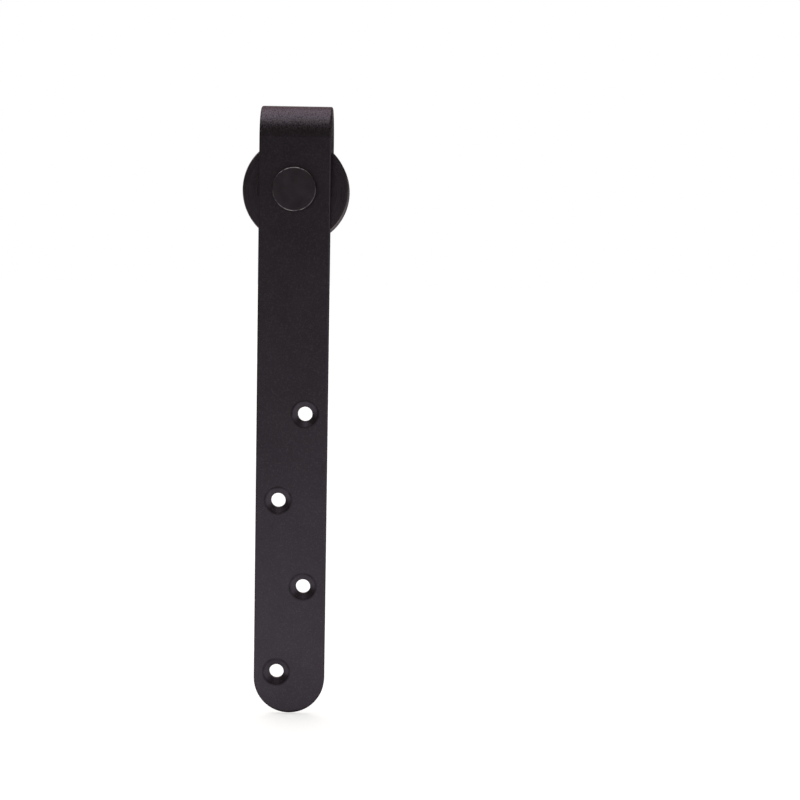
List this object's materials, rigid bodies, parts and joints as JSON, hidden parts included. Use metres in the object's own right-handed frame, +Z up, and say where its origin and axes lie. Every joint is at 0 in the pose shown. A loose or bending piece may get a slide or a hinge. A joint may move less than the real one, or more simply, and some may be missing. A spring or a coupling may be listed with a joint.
{
  "type": "sliding door roller",
  "caption": "Bent steel strap hanger with a grooved wheel on an axle, for hanging a sliding door from a flat rail.",
  "frame": {"origin": "centre of the wheel, where the axle's axis meets the middle of the wheel's width", "axes": "+X across the strap, +Y along the axle from the cap nut to the bolt head, away from the room and towards the door's back, +Z up"},
  "size_m": [0.0594, 0.0518, 0.343],
  "materials": {
    "strap_coat": "satin black powder coat with a fine sandy grain",
    "wheel_coat": "satin black over turned steel",
    "fastener_black": "satin black plating",
    "cap_black": "smooth satin black plating",
    "spacer_black": "satin black",
    "spring_steel": "phosphated",
    "ring_steel": "ground",
    "ball_steel": "polished",
    "pressed_steel": "bright pressed sheet"
  },
  "bodies": {
    "hanger": {"strap": "strap_coat", "axle_bolt": "fastener_black", "washer": "fastener_black", "cap_nut": "cap_black", "front_spacer": "spacer_black", "rear_spacer": "spacer_black", "inner_distance_ring": "ring_steel", "front_bearing_inner_ring": "ring_steel", "rear_bearing_inner_ring": "ring_steel"},
    "wheel": {"wheel": "wheel_coat", "circlip": "spring_steel", "outer_distance_ring": "ring_steel", "front_bearing_outer_ring": "ring_steel", "front_bearing_front_shield": "pressed_steel", "front_bearing_rear_shield": "pressed_steel", "rear_bearing_outer_ring": "ring_steel", "rear_bearing_front_shield": "pressed_steel", "rear_bearing_rear_shield": "pressed_steel"},
    "front_ball_set": {"front_bearing_balls": "ball_steel", "front_bearing_cage_front_half": "pressed_steel", "front_bearing_cage_rear_half": "pressed_steel", "front_bearing_cage_rivets": "pressed_steel"},
    "rear_ball_set": {"rear_bearing_balls": "ball_steel", "rear_bearing_cage_front_half": "pressed_steel", "rear_bearing_cage_rear_half": "pressed_steel", "rear_bearing_cage_rivets": "pressed_steel"}
  },
  "joints": [
    {"name": "wheel_spin", "type": "hinge", "parent": "hanger", "child": "wheel", "pos_m": [0, 0, 0], "axis": [0, 1, 0], "continuous": true},
    {"name": "front_ball_set_spin", "type": "hinge", "parent": "hanger", "child": "front_ball_set", "pos_m": [0, 0, 0], "axis": [0, 1, 0], "continuous": true},
    {"name": "rear_ball_set_spin", "type": "hinge", "parent": "hanger", "child": "rear_ball_set", "pos_m": [0, 0, 0], "axis": [0, 1, 0], "continuous": true}
  ],
  "couplings": [
    {"joint": "front_ball_set_spin", "follows": "wheel_spin", "ratio": 0.6323},
    {"joint": "rear_ball_set_spin", "follows": "wheel_spin", "ratio": 0.6323}
  ]
}
